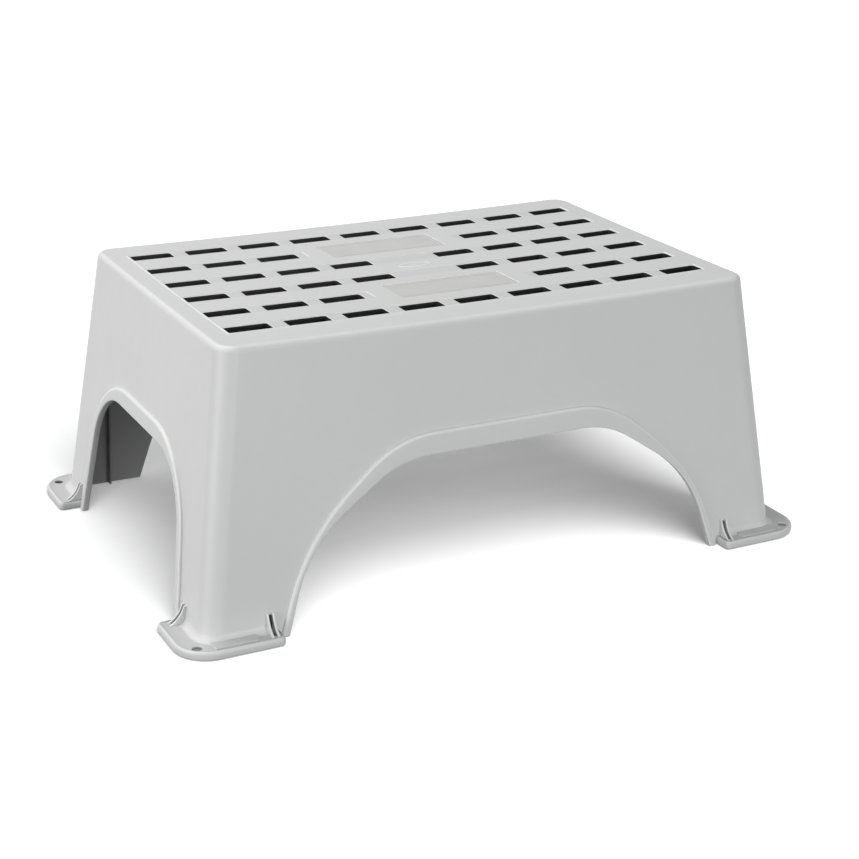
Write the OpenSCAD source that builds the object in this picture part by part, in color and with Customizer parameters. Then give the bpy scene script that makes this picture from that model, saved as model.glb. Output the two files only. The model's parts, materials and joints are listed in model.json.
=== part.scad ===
// One-step stool: a moulded shell with a slotted deck, arched sides and four flanged feet.
// Millimetres. The origin is on the floor under the middle of the deck, +Z up, front at -Y.

/* [Overall] */
// Height of the deck above the floor
height = 225; // [200:1:245]
// Length of the deck, left to right, before its edge is rounded
deck_l = 460; // [450:1:500]
// Depth of the deck, front to back, before its edge is rounded
deck_w = 300; // [294:1:330]
// How far each end wall leans out between deck and floor
lean_x = 30; // [20:1:36]
// How far the front and back walls lean out between deck and floor
lean_y = 26; // [18:1:30]
// Radius of the upright corners
corner_r = 16; // [10:1:24]
// Radius of the rim round the deck
rim_r = 5; // [2:0.5:8]
// Thickness of the walls
wall_t = 3.5; // [2.5:0.5:5]
// Thickness of the deck
deck_t = 4; // [3:0.5:6]

/* [Slots] */
// Number of slots along the deck
slot_cols = 9; // [7:2:9]
// Number of rows of slots
slot_rows = 6; // [6]
// Distance between slots along a row
slot_pitch_x = 48; // [46:0.5:50]
// Distance between rows
slot_pitch_y = 43.5; // [42:0.5:46]
// Length of a slot
slot_l = 35; // [28:1:38]
// Width of a slot
slot_w = 15; // [10:1:18]
// Radius of a slot's corners
slot_r = 2; // [1:0.5:4]
// Width of the groove that a row of slots lies in
groove_w = 18; // [16:1:22]
// Depth of the grooves and of the label recesses
groove_d = 1; // [0.6:0.1:1.5]
// Height of the treads between the grooves above the margin of the deck
tread_h = 0.6; // [0.4:0.1:1]

/* [Arches] */
// Height of the front and back openings above the floor
arch_h = 121; // [115:1:130]
// Half width of the front and back openings at the floor
arch_foot_x = 191; // [184:1:192]
// Half width of the front and back openings at the knee, where a leg bends inward
arch_knee_x = 170.5; // [164:0.5:176]
// Height of the knee above the floor
arch_knee_h = 68; // [62:1:72]
// Half width of the flat crown of the front and back openings, before rounding
arch_crown_x = 92; // [85:1:105]
// Height of the end openings above the floor
end_arch_h = 120.5; // [110:0.5:130]
// Half width of the end openings at the floor
arch_foot_y = 118; // [108:1:120]
// Half width of the crown of the end openings, before rounding
arch_crown_y = 96; // [85:1:100]
// How far the band round each opening stands out from the wall
band_t = 2.5; // [1.5:0.5:4]
// Width of the band over the top of the front and back openings
band_top_w = 18; // [14:1:24]
// Width of the band over the top of the end openings
end_band_w = 14.5; // [10:0.5:20]
// Width of the band down the legs
band_leg_w = 7; // [5:1:9]

/* [Feet] */
// Width of the foot flanges at the ends of the stool
flange_x = 19; // [17:1:24]
// Width of the foot flanges at the front and back
flange_y = 16; // [15:1:20]
// Radius of the flange corners
flange_r = 28; // [24:1:34]
// Height of the top of the flanges above the floor
flange_h = 7.6; // [6.5:0.1:9]
// Thickness of the flanges and of the lip round them
flange_t = 3; // [2:0.5:4]
// Gap between a flange's end and the band beside it
flange_gap = 1; // [1:0.5:3]
// Diameter of the hole in each foot
hole_d = 8; // [5:0.5:8]
// Distance of each hole in from the ends and from the front and back edges
hole_in = 14; // [13:0.5:15]
// Height of the gussets above the flange
gusset_h = 13.5; // [10:0.5:20]
// Length of a gusset along the flange
gusset_l = 12; // [8:0.5:12.5]
// Thickness of a gusset
gusset_t = 1.6; // [1.2:0.2:2]
// Gap between the two gussets of a pair
gusset_gap = 3; // [2:0.5:4]

/* [Ribs] */
// Depth of the ribs under the deck
rib_h = 14; // [8:1:20]
// Thickness of the ribs
rib_t = 2.4; // [1.6:0.2:3.2]
// Depth of the upright rib inside each leg
leg_rib_d = 6; // [4:1:10]
// Distance of the leg ribs in from the end walls at the floor
leg_rib_in = 39; // [34:1:50]

/* [Pads] */
// Length of a foot pad
pad_l = 36; // [28:1:40]
// Width of a foot pad
pad_w = 10; // [8:0.5:11]
// How far the pads stand below the flange's lip
pad_proud = 0.8; // [0.4:0.1:1.5]
// Distance from the end of the stool to the middle of a pad
pad_in = 43; // [40:1:48]
// Height of the raised seat over each pad
seat_h = 1.2; // [0.8:0.1:2]
// Diameter of the stud that holds a pad
stud_d = 5; // [4:0.5:6]
// Length of the stud
stud_l = 2.4; // [1.5:0.1:2.8]

/* [Labels] */
// Length of a label
label_l = 104; // [90:1:108]
// Width of a label
label_w = 38; // [30:1:39]
// Thickness of a label
label_t = 0.6; // [0.4:0.1:0.9]
// Clearance round a label in its recess
label_clear = 0.6; // [0.3:0.1:1]

/* [Hidden] */

cut = 1;                                // how far a cutting solid runs past a face
sink = 0.5;                             // how far a joined solid runs into its neighbour
foot_z = pad_proud;                     // the shell ends above the floor and stands on its pads
slope_x = lean_x / height;              // lean of the end walls
slope_y = lean_y / height;              // lean of the front and back walls
wall_x = deck_l / 2 + lean_x;           // half length of the walls at the floor
wall_y = deck_w / 2 + lean_y;           // half depth of the walls at the floor
base_x = wall_x + flange_x;             // half length over the flanges
base_y = wall_y + flange_y;             // half depth over the flanges
margin_z = height - tread_h;            // top of the deck's plain margin
groove_z = height - groove_d;           // floor of the grooves and recesses
under_z = height - deck_t;              // underside of the deck
end_land = 2;                           // land left beyond the last slots
field_x = (slot_cols - 1) / 2 * slot_pitch_x + slot_l / 2 + end_land;
field_y = (slot_rows - 1) / 2 * slot_pitch_y + slot_w / 2 + end_land;
label_row = (slot_rows - 3) / 2;        // the labels lie on the second row from each side
label_y = label_row * slot_pitch_y;
label_gap = 8;                          // how far a groove runs past its last slot to a label
front_end_x = arch_foot_x + band_leg_w + flange_gap;
side_end_y = arch_foot_y + band_leg_w + flange_gap;
gusset_in = 3.5;                        // from a flange's end to the first gusset
gusset_pair = gusset_gap + gusset_t;    // from one gusset of a pair to the other
gusset_x = front_end_x + gusset_in + gusset_t + gusset_gap / 2;
gusset_y = side_end_y + gusset_in + gusset_t + gusset_gap / 2;
hole_x = base_x - hole_in;
hole_y = base_y - hole_in;
pad_x = base_x - pad_in;
pad_y = base_y - flange_t - sink - pad_w / 2;
pad_top = flange_h - flange_t;          // underside of the flange

band_turn_w = 2.5;                      // how much wider the front band is than its opening at the bends

// Corners of the right half of each opening, from the floor up, and the rounding of the opening and its band.
arch_x = [[arch_foot_x, 0], [arch_knee_x, arch_knee_h], [arch_crown_x, arch_h]];
arch_x_r = [0, 110, 80];
band_x_r = [0, 170, 90];
arch_y = [[arch_foot_y, 0], [arch_crown_y, end_arch_h]];
arch_y_r = [0, 58];
band_y_r = [0, 80];

function unit(v) = v / norm(v);

// The arc of radius r that rounds corner b of the path a, b, c.
function fillet(a, b, c, r, steps = 9) =
    let (u = unit(a - b), w = unit(c - b), half = acos(u * w) / 2)
    let (mid = b + unit(u + w) * r / sin(half))
    let (p = b + u * r / tan(half) - mid, q = b + w * r / tan(half) - mid)
    let (start = atan2(p.y, p.x), turn = (atan2(q.y, q.x) - start + 540) % 360 - 180)
    [for (i = [0:steps]) mid + r * [cos(start + turn * i / steps), sin(start + turn * i / steps)]];

function mirrored(p) = [-p.x, p.y];

// Right half of an opening's outline, from below the floor up to its crown.
function half_arch(path, radii) = concat(
    [[path[0].x, -cut]],
    [for (i = [1:len(path) - 1])
        let (next = i == len(path) - 1 ? mirrored(path[i]) : path[i + 1])
        each fillet(path[i - 1], path[i], next, radii[i])]);

function whole_arch(half) = concat(half, [for (i = [len(half) - 1:-1:0]) mirrored(half[i])]);

// The corners of a band's outline: band_leg_w wider at the legs, bend_w at the bends, top_w higher at the top.
function band_path(path, bend_w, top_w) =
    let (top = path[len(path) - 1].y)
    [for (p = path) p + [p.y == 0 ? band_leg_w : bend_w, top_w * pow(p.y / top, 2)]];

module rounded_rect(l, w, r) {
    square([l - 2 * r, w], center = true);
    square([l, w - 2 * r], center = true);
    for (x = [-1, 1], y = [-1, 1]) {
        translate([x * (l / 2 - r), y * (w / 2 - r)]) circle(r, $fn = 48);
    }
}

// An upright post whose top edge is rounded.
module corner_post(r, edge, h) {
    rim = [for (i = [0:4]) [r - edge * (1 - cos(22.5 * i)), h - edge * (1 - sin(22.5 * i))]];
    rotate_extrude($fn = 32) polygon(concat([[0, 0], [r, 0]], rim, [[0, h]]));
}

// The form of the stool, leaning out from the deck to the floor and grown all round by grow.
module drafted_block(grow, bottom, top, edge) {
    skirt = edge + 0.1;
    r = max(corner_r + grow, edge + 1);
    hull() {
        for (x = [-1, 1], y = [-1, 1], z = [bottom, top - skirt]) {
            translate([x * (wall_x - slope_x * z + grow - r), y * (wall_y - slope_y * z + grow - r), z])
                corner_post(r, z == bottom ? 0.05 : edge, z == bottom ? 0.1 : skirt);
        }
    }
}

module arch_prisms(outline_x, outline_y) {
    rotate([90, 0, 0]) linear_extrude(2 * base_y + 2 * cut, center = true) polygon(outline_x);
    rotate([90, 0, 90]) linear_extrude(2 * base_x + 2 * cut, center = true) polygon(outline_y);
}

module arch_openings() {
    arch_prisms(whole_arch(half_arch(arch_x, arch_x_r)), whole_arch(half_arch(arch_y, arch_y_r)));
}

module arch_bands() {
    intersection() {
        drafted_block(band_t, foot_z, max(arch_h + band_top_w, end_arch_h + end_band_w) + 2 * cut, 0.2);
        arch_prisms(whole_arch(half_arch(band_path(arch_x, band_turn_w, band_top_w), band_x_r)),
                    whole_arch(half_arch(band_path(arch_y, band_leg_w, end_band_w), band_y_r)));
    }
}

// The plan of the four flanges, drawn in by inset.
module flange_plan(inset) {
    intersection() {
        rounded_rect(2 * (base_x - inset), 2 * (base_y - inset), flange_r - inset);
        for (x = [-1, 1], y = [-1, 1]) {
            from_x = x > 0 ? front_end_x + inset : -base_x;
            from_y = y > 0 ? side_end_y + inset : -base_y;
            translate([from_x, from_y])
                square([base_x - front_end_x - inset, base_y - side_end_y - inset]);
        }
    }
}

// One web between the wall and a flange, in the plane of its length and height, a little hollow along its edge.
module gusset() {
    steps = 8;
    curve = [for (i = [0:steps]) let (a = 90 * i / steps)
        [gusset_l * (2 - sin(a) - i / steps) / 2, gusset_h * (1 - cos(a) + i / steps) / 2]];
    rotate([90, 0, 0]) linear_extrude(gusset_t, center = true)
        polygon(concat([[-flange_t, -sink], [gusset_l, -sink]], curve, [[-flange_t, gusset_h]]));
}

// Puts its child, drawn along +X from the wall, at the front, back and end gusset places.
module at_gussets(offset = 0) {
    for (x = [-1, 1], y = [-1, 1]) {
        translate([x * gusset_x + offset, y * wall_y, flange_h]) rotate(90 * y) children();
        translate([x * wall_x, y * gusset_y + offset, flange_h]) rotate(90 - 90 * x) children();
    }
}

module gussets() {
    for (side = [-1, 1]) {
        at_gussets(side * gusset_pair / 2) gusset();
    }
}

// The narrow opening between the gussets of a pair, through the flange.
module gusset_slit() {
    translate([0, -gusset_gap / 2, -2 * flange_t]) cube([gusset_l / 2, gusset_gap, 2 * flange_t + sink]);
}

module at_slots() {
    for (i = [0:slot_cols - 1], j = [0:slot_rows - 1]) {
        col = abs(i - (slot_cols - 1) / 2);
        row = abs(j - (slot_rows - 1) / 2);
        free = row == label_row ? col > 1 : col > 0 || row > label_row;
        if (free) {
            translate([(i - (slot_cols - 1) / 2) * slot_pitch_x, (j - (slot_rows - 1) / 2) * slot_pitch_y])
                children();
        }
    }
}

module slots() {
    at_slots() translate([0, 0, under_z - rib_h]) linear_extrude(deck_t + rib_h + cut)
        rounded_rect(slot_l, slot_w, slot_r);
}

// The shallow grooves along the rows, stopping short of the labels.
module grooves() {
    groove_l = 2 * field_x - end_land;
    gap_l = 2 * (2 * slot_pitch_x - slot_l / 2 - label_gap);
    for (j = [0:slot_rows - 1]) {
        row = j - (slot_rows - 1) / 2;
        translate([0, row * slot_pitch_y, groove_z + cut / 2 + deck_t / 2]) difference() {
            cube([groove_l, groove_w, deck_t + cut], center = true);
            if (abs(row) == label_row) cube([gap_l, groove_w + cut, deck_t + 2 * cut], center = true);
        }
    }
}

module label_recesses() {
    for (y = [-1, 1]) {
        translate([0, y * label_y, groove_z + deck_t / 2])
            cube([label_l + 2 * label_clear, label_w + 2 * label_clear, deck_t], center = true);
    }
}

// Ribs under the deck: along it between the rows, and across it between the slots.
module deck_ribs() {
    z = under_z - rib_h;
    long = deck_l - 2 * cut;
    wide = deck_w - 2 * cut;
    for (j = [0:slot_rows]) {
        translate([-long / 2, (j - slot_rows / 2) * slot_pitch_y - rib_t / 2, z]) cube([long, rib_t, rib_h + sink]);
    }
    for (i = [0:slot_cols]) {
        translate([(i - slot_cols / 2) * slot_pitch_x - rib_t / 2, -wide / 2, z]) cube([rib_t, wide, rib_h + sink]);
    }
}

// Upright ribs inside the front and back walls, one in each leg.
module leg_ribs() {
    leg_rib_x = wall_x - leg_rib_in;
    intersection() {
        difference() {
            drafted_block(sink - wall_t, foot_z, under_z + sink, 1);
            drafted_block(-wall_t - leg_rib_d, foot_z - cut, under_z - sink, 1);
        }
        for (x = [-1, 1]) {
            translate([x * leg_rib_x - rib_t / 2, -wall_y, 0]) cube([rib_t, 2 * wall_y, under_z]);
        }
    }
}

module foot_holes() {
    for (x = [-1, 1], y = [-1, 1]) {
        translate([x * hole_x, y * hole_y, 0]) cylinder(h = flange_h + cut, d = hole_d, $fn = 64);
        translate([x * pad_x, y * pad_y, 0]) cylinder(h = pad_top + stud_l, d = stud_d, $fn = 48);
    }
}

// The raised seats over the pads.
module pad_seats() {
    seat_w = base_y - flange_t - wall_y + wall_t / 2;
    for (x = [-1, 1], y = [-1, 1]) {
        translate([x * pad_x, y * (base_y - flange_t - seat_w / 2), flange_h + seat_h / 2 - sink / 2])
            cube([pad_l, seat_w, seat_h + sink], center = true);
    }
}

module shell_walls() {
    difference() {
        union() {
            drafted_block(0, foot_z, margin_z, rim_r);
            translate([-field_x, -field_y, under_z]) cube([2 * field_x, 2 * field_y, deck_t]);
            arch_bands();
            translate([0, 0, foot_z]) linear_extrude(flange_h - foot_z) flange_plan(0);
            pad_seats();
            gussets();
        }
        drafted_block(-wall_t, foot_z - cut, under_z, rim_r - wall_t + 1);
        arch_openings();
        linear_extrude(pad_top) flange_plan(flange_t);
    }
}

module step_shell() {
    color("gainsboro") difference() {
        union() {
            shell_walls();
            deck_ribs();
            leg_ribs();
        }
        slots();
        grooves();
        label_recesses();
        foot_holes();
        at_gussets() gusset_slit();
    }
}

module label(side) {
    color("lightgray") translate([0, side * label_y, groove_z])
        linear_extrude(label_t) rounded_rect(label_l, label_w, slot_r);
}

module pad(x, y) {
    color("dimgray") translate([x * pad_x, y * pad_y, 0]) {
        linear_extrude(pad_top) rounded_rect(pad_l, pad_w, pad_w / 4);
        cylinder(h = pad_top + stud_l, d = stud_d, $fn = 48);
    }
}

step_shell();
label(1);  // rear_label
label(-1);  // front_label
pad(-1, -1);  // pad_front_left
pad(1, -1);  // pad_front_right
pad(-1, 1);  // pad_rear_left
pad(1, 1);  // pad_rear_right
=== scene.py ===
"""A moulded step stool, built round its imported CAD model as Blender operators.

Every mesh function works in millimetres, in the CAD model's frame: the origin is on the floor under the
middle of the deck, +X runs along the deck, +Y to the back and +Z up.
"""

import json
import math

import bmesh
import bpy
from bpy.props import FloatProperty, FloatVectorProperty, IntProperty, PointerProperty
from mathutils import Euler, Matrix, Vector
from mathutils.geometry import delaunay_2d_cdt, intersect_line_line_2d

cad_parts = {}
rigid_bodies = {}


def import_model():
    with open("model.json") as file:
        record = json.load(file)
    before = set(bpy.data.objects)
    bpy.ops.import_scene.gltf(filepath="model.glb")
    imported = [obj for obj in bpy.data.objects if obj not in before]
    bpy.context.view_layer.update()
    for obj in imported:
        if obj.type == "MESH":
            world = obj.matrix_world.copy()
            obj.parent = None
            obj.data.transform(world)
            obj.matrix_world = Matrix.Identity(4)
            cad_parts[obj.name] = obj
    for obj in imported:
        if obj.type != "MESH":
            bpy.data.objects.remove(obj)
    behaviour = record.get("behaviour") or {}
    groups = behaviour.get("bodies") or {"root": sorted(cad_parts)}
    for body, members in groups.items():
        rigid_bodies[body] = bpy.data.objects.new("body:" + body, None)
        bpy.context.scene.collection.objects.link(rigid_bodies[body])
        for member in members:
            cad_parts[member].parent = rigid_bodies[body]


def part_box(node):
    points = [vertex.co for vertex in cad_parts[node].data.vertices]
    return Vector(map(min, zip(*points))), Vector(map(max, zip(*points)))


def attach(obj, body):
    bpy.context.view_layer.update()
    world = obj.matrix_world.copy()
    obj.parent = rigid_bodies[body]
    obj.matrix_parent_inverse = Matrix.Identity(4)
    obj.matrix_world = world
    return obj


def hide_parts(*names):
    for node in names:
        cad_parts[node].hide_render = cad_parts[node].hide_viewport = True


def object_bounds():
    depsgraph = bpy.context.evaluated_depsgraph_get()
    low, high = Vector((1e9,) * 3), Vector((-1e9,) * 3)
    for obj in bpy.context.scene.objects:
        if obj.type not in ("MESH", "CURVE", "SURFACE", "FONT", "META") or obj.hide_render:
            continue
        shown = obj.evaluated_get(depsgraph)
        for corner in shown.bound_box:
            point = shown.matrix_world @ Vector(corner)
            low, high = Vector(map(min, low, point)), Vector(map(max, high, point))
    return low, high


bl_info = {
    "name": "Step stool",
    "version": (1, 0, 0),
    "blender": (4, 5, 0),
    "location": "View3D > Sidebar > Step stool",
    "description": "Builds a moulded step stool with a slotted deck and four flanged feet",
    "category": "Add Mesh",
}

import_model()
CAD_LOW, CAD_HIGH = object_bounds()

MM = 0.001
FULL = tuple(side * 1000 for side in (CAD_HIGH - CAD_LOW))
DECK_Z = CAD_HIGH.z * 1000
BASE_X, BASE_Y = FULL[0] / 2, FULL[1] / 2
FOOT_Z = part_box("step_shell")[0].z * 1000
PAD_NODES = ("pad_front_left", "pad_front_right", "pad_rear_left", "pad_rear_right")

TREAD_EDGE = 2.0  # how far the treads go on beyond the outermost slots
GROOVE_END = 1.0  # from a groove's end to the edge of the treads
GROOVE_LEAD = 8.0  # how far a groove goes on past its last slot beside a label
LABEL_GAP = 0.6  # round a label in its recess
DIP_FROM, DIP_OVER = 200, 15  # height where the dip sets in, and how much further up it is whole
DIP_HALF_X, DIP_HALF_Y = 230, 150  # how far from the middle the dip ends
SEAT_NEAR, SEAT_FAR = 18.2, 17.2  # half length of a flange's seat at the wall, and at the flange's edge
SEAT_IN, SEAT_UP = 5.6, 1.2  # how far the seat is in from the flange's edge, and how high it is
FLANGE_OUT = (19.0, 16.0)  # how far a flange reaches out from the end wall, and from the front wall
WEB_FOOT = 0.9  # how far a flange's face lies below its rim
UNDER_R = 2.0  # radius of the hollow between the walls and the deck's underside
GROOVE_R = 1.2  # radius of a groove's corners
POCKET_DEPTH = 1.4  # of the pocket in the wall between two webs
PAD_TOP = 4.6  # height of a pad without its stud
LEG_RIB_IN = 39.0  # from the end wall to the rib inside each leg
INSIDE_SHADE = 0.5  # painted shade on the inner faces: how dark they are painted, from 0 to 1
RIB_SHADE = 0.85  # painted shade on the ribs under the deck, from 0 to 1
RIB_DEPTH, RIB_ROOT, RIB_TIP = 14.0, 1.2, 0.85  # depth of a rib under the deck, and its half width at each edge

ARC_STEPS = 10  # lengths round a corner of the walls
LONG_STEPS, WIDE_STEPS = 20, 14  # lengths along the front wall, and along an end wall
RUN_STEPS, BEND_STEPS = 8, 12  # lengths along a straight and round a bend of an arch
RIM_STEPS, UNDER_STEPS = 8, 4  # lengths over the edge of the deck, and in the hollow under it
GROOVE_CUTS = 18  # lengths along a groove, so that it can dip with the deck
HIDDEN_STEPS = 9  # points on a flange's inner line, which lies inside the wall
QUARTERS = ((1, 1), (-1, 1), (-1, -1), (1, -1))

# Rounded edges. A slot's upper edge: how far out, how far down, wear with a painted highlight, and painted
# shade on the slot's walls.
SLOT_EDGE = ((0.56, 0.0, 0, 0), (0.46, 0.0, 1, 0), (0.28, 0.04, 1, 0), (0.12, 0.14, 1, 0),
             (0.03, 0.3, 0.5, 0.3), (0, 0.55, 0, 1))
# The edge down into a groove or a recess: how far out, how much of its depth, and wear with a painted
# highlight.
SUNK_EDGE = ((0.25, 0.0, 0.0), (0.1, 0.06, 0.8), (-0.05, 0.3, 1.0), (-0.12, 0.7, 0.2), (-0.24, 0.93, 0.0),
             (-0.4, 1.0, 0.0))
# The step from the margin up to the treads: how far out, how far up, and wear with a painted highlight.
LIP_EDGE = ((0.7, 0.0, 0), (0.25, 0.08, 0), (0.0, 0.3, 0.5), (-0.12, 0.5, 1.0), (-0.4, 0.6, 0))
# A band's outer edge and its edge at the opening: distance in over the band, and height above the wall.
BAND_EDGE = ((0.0, 0.0), (0.12, 0.7), (0.45, 1.4), (1.0, 2.0), (1.8, 2.35), (2.8, 2.5))
MOUTH_EDGE = ((1.3, 2.5), (0.55, 2.3), (0.12, 1.8), (0.0, 1.1))
# Wear and painted highlight along a band's section, one value for each row over its edges.
BAND_WEAR_AND_HIGHLIGHT = (0, 0, 0.6, 1, 0.6, 0, 0, 0.8, 1, 0.3, 0, 0, 0)


# ---- sizes and colours that a user would change ----


def size(name, text, value, low, high):
    return FloatProperty(name=name, description=text + ", mm", default=value, min=low, max=high)


def colour(name, text, value):
    return FloatVectorProperty(name=name, description="Colour of the " + text, subtype="COLOR", default=value)


class StoolWalls(bpy.types.PropertyGroup):
    lean_x: size("End lean", "How far an end wall leans out down to the floor", 30, 0, 60)
    lean_y: size("Front lean", "How far the front wall leans out down to the floor", 26, 0, 60)
    corner_r: size("Corner radius", "Radius of the upright corners", 16, 8, 30)
    rim_r: size("Rim radius", "Radius of the edge round the deck", 5, 2, 9)
    wall_t: size("Wall thickness", "Thickness of the walls", 3.5, 2, 6)
    deck_t: size("Deck thickness", "Thickness of the deck", 4, 2, 6)
    sag_x: size("Dip along", "How far the deck dips between its ends", 1.8, 0, 4)
    sag_y: size("Dip across", "How far the deck dips between front and back", 0.8, 0, 4)


class StoolDeck(bpy.types.PropertyGroup):
    columns: IntProperty(name="Columns", description="Slots along the deck", default=9, min=3, max=9)
    rows: IntProperty(name="Rows", description="Rows of slots", default=6, min=6, max=6)
    pitch_x: size("Pitch along", "Distance between slots along a row", 48, 46, 50)
    pitch_y: size("Pitch across", "Distance between rows", 43.5, 42, 46)
    slot_l: size("Slot length", "Length of a slot", 35, 28, 38)
    slot_w: size("Slot width", "Width of a slot", 15, 10, 16)
    slot_r: size("Slot corners", "Radius of a slot's corners", 2, 1, 4)
    groove_w: size("Groove width", "Width of the groove that a row lies in", 17.2, 16, 22)
    groove_d: size("Groove depth", "Depth of the grooves that the rows lie in", 0.6, 0.3, 1.5)
    recess_d: size("Recess depth", "Depth of the recesses that the labels lie in", 1, 0.5, 1.5)
    tread_h: size("Tread height", "Height of the treads above the deck's margin", 0.6, 0.3, 1)


class StoolArches(bpy.types.PropertyGroup):
    height: size("Front height", "Height of the front and back openings", 121, 100, 140)
    foot_x: size("Front foot", "Half width of the front opening at the floor", 191, 180, 200)
    knee_x: size("Front knee", "Half width of the front opening at its knee", 170.5, 160, 180)
    knee_h: size("Knee height", "Height of the knee above the floor", 68, 60, 75)
    crown_x: size("Front crown", "Half width of the front opening's crown before rounding", 92, 80, 110)
    end_height: size("End height", "Height of the end openings", 120.5, 100, 140)
    foot_y: size("End foot", "Half width of an end opening at the floor", 118, 100, 122)
    crown_y: size("End crown", "Half width of an end opening's crown before rounding", 96, 80, 102)
    band_t: size("Band height", "How far a band stands out from the wall", 2.5, 1, 4)
    band_top_w: size("Front band", "Width of the band over the front opening", 18, 10, 26)
    band_turn_w: size("Front band at bends", "How much wider the front band is at its bends", 2.5, 1, 6)
    end_band_w: size("End band", "Width of the band over an end opening", 14.5, 10, 26)
    band_leg_w: size("Band down the legs", "Width of a band down the legs", 7, 4, 10)


class StoolFeet(bpy.types.PropertyGroup):
    flange_h: size("Flange height", "Height of a flange's rim above the floor", 7.6, 5, 10)
    flange_t: size("Flange thickness", "Thickness of a flange", 3, 2, 4)
    flange_r: size("Flange corner", "Radius of a flange's corner", 28, 20, 36)
    flange_gap: size("Flange gap", "Gap between a flange's end and the band", 1, 0.5, 4)
    hole_d: size("Hole diameter", "Diameter of the hole in each foot", 8, 4, 10)
    hole_in: size("Hole inset", "Distance of each hole in from the edges", 14, 12, 18)
    web_h: size("Web height", "Height of the webs above a flange", 13.5, 8, 20)
    web_l: size("Web length", "Length of a web along its flange", 12, 8, 13)
    web_in: size("Web inset", "Distance from a flange's end to its first web", 3.5, 1, 8)
    fillet_r: size("Fillet", "Radius of the hollow between wall and flange", 5, 1, 6)
    web_t: size("Web thickness", "Thickness of a web", 1.6, 1, 2.4)
    web_gap: size("Web gap", "Gap between the two webs of a pair", 3, 2, 5)
    pad_in: size("Pad inset", "Distance from the end of the stool to the middle of a pad", 43, 38, 50)


class StoolFinish(bpy.types.PropertyGroup):
    plastic: colour("Plastic", "moulding", (0.60, 0.605, 0.60))
    label: colour("Labels", "label plates", (0.52, 0.52, 0.505))
    rubber: colour("Rubber", "pads", (0.035, 0.035, 0.036))
    gloss: FloatProperty(
        name="Roughness", description="Roughness of the plastic", subtype="FACTOR", default=0.46, min=0, max=1
    )


GROUPS = {
    "stool_walls": StoolWalls,
    "stool_deck": StoolDeck,
    "stool_arches": StoolArches,
    "stool_feet": StoolFeet,
    "stool_finish": StoolFinish,
}


# ---- shader helpers ----


def maths(operation, swapped=False):
    def combine(self, other):
        first, second = (other, self) if swapped else (self, other)
        return self.finish.node("ShaderNodeMath", {0: first, 1: second}, operation=operation)

    return combine


class Signal:
    """A shader socket that can stand in a Python sum."""

    def __init__(self, finish, socket):
        self.finish, self.socket = finish, socket

    __add__, __radd__ = maths("ADD"), maths("ADD", True)
    __sub__, __rsub__ = maths("SUBTRACT"), maths("SUBTRACT", True)
    __mul__, __rmul__ = maths("MULTIPLY"), maths("MULTIPLY", True)


def add_node(tree, kind, inputs, settings):
    """Adds a node to a tree, sets it up and fills its sockets with values or links."""
    made = tree.nodes.new(kind)
    for key, value in settings.items():
        setattr(made, key, value)
    for key, value in (inputs or {}).items():
        value = getattr(value, "socket", value)
        if isinstance(value, bpy.types.NodeSocket):
            tree.links.new(value, made.inputs[key])
        else:
            made.inputs[key].default_value = value
    return made


class Finish:
    """A node material under construction."""

    def __init__(self, name):
        self.material = bpy.data.materials.new(name)
        self.material.use_nodes = True
        self.tree = self.material.node_tree
        self.tree.nodes.clear()

    def node(self, kind, inputs=None, output=0, **settings):
        """Adds a node and returns one of its outputs."""
        made = add_node(self.tree, kind, inputs, settings)
        return Signal(self, made.outputs[output]) if made.outputs else None

    def ramp(self, value, low, high):
        """0 below low, 1 above high, and a straight line between."""
        return self.node("ShaderNodeMapRange", {"Value": value, "From Min": low, "From Max": high}, clamp=True)

    def noise(self, where, scale, detail=2.0, rough=0.5):
        inputs = {"Vector": where, "Scale": scale, "Detail": detail, "Roughness": rough}
        return self.node("ShaderNodeTexNoise", inputs)

    def place(self):
        return self.node("ShaderNodeTexCoord", output="Object")

    def stretched(self, where, scale):
        return self.node("ShaderNodeMapping", {"Vector": where, "Scale": scale})

    def attribute(self, name):
        return self.node("ShaderNodeAttribute", output="Fac", attribute_name=name)

    def blend(self, amount, first, second):
        """One colour laid over another. Sockets 6 and 7 take the colours, and output 2 gives one."""
        return self.node("ShaderNodeMix", {0: amount, 6: first, 7: second}, 2, data_type="RGBA")

    def bump(self, height, strength, distance, under=None):
        inputs = {"Height": height, "Strength": strength, "Distance": distance}
        if under is not None:
            inputs["Normal"] = under
        return self.node("ShaderNodeBump", inputs)

    def close(self, inputs):
        shader = self.node("ShaderNodeBsdfPrincipled", inputs)
        self.node("ShaderNodeOutputMaterial", {"Surface": shader})
        return self.material


def shade(colour, factor):
    return tuple(min(1.0, c * factor) for c in colour) + (1.0,)


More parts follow.
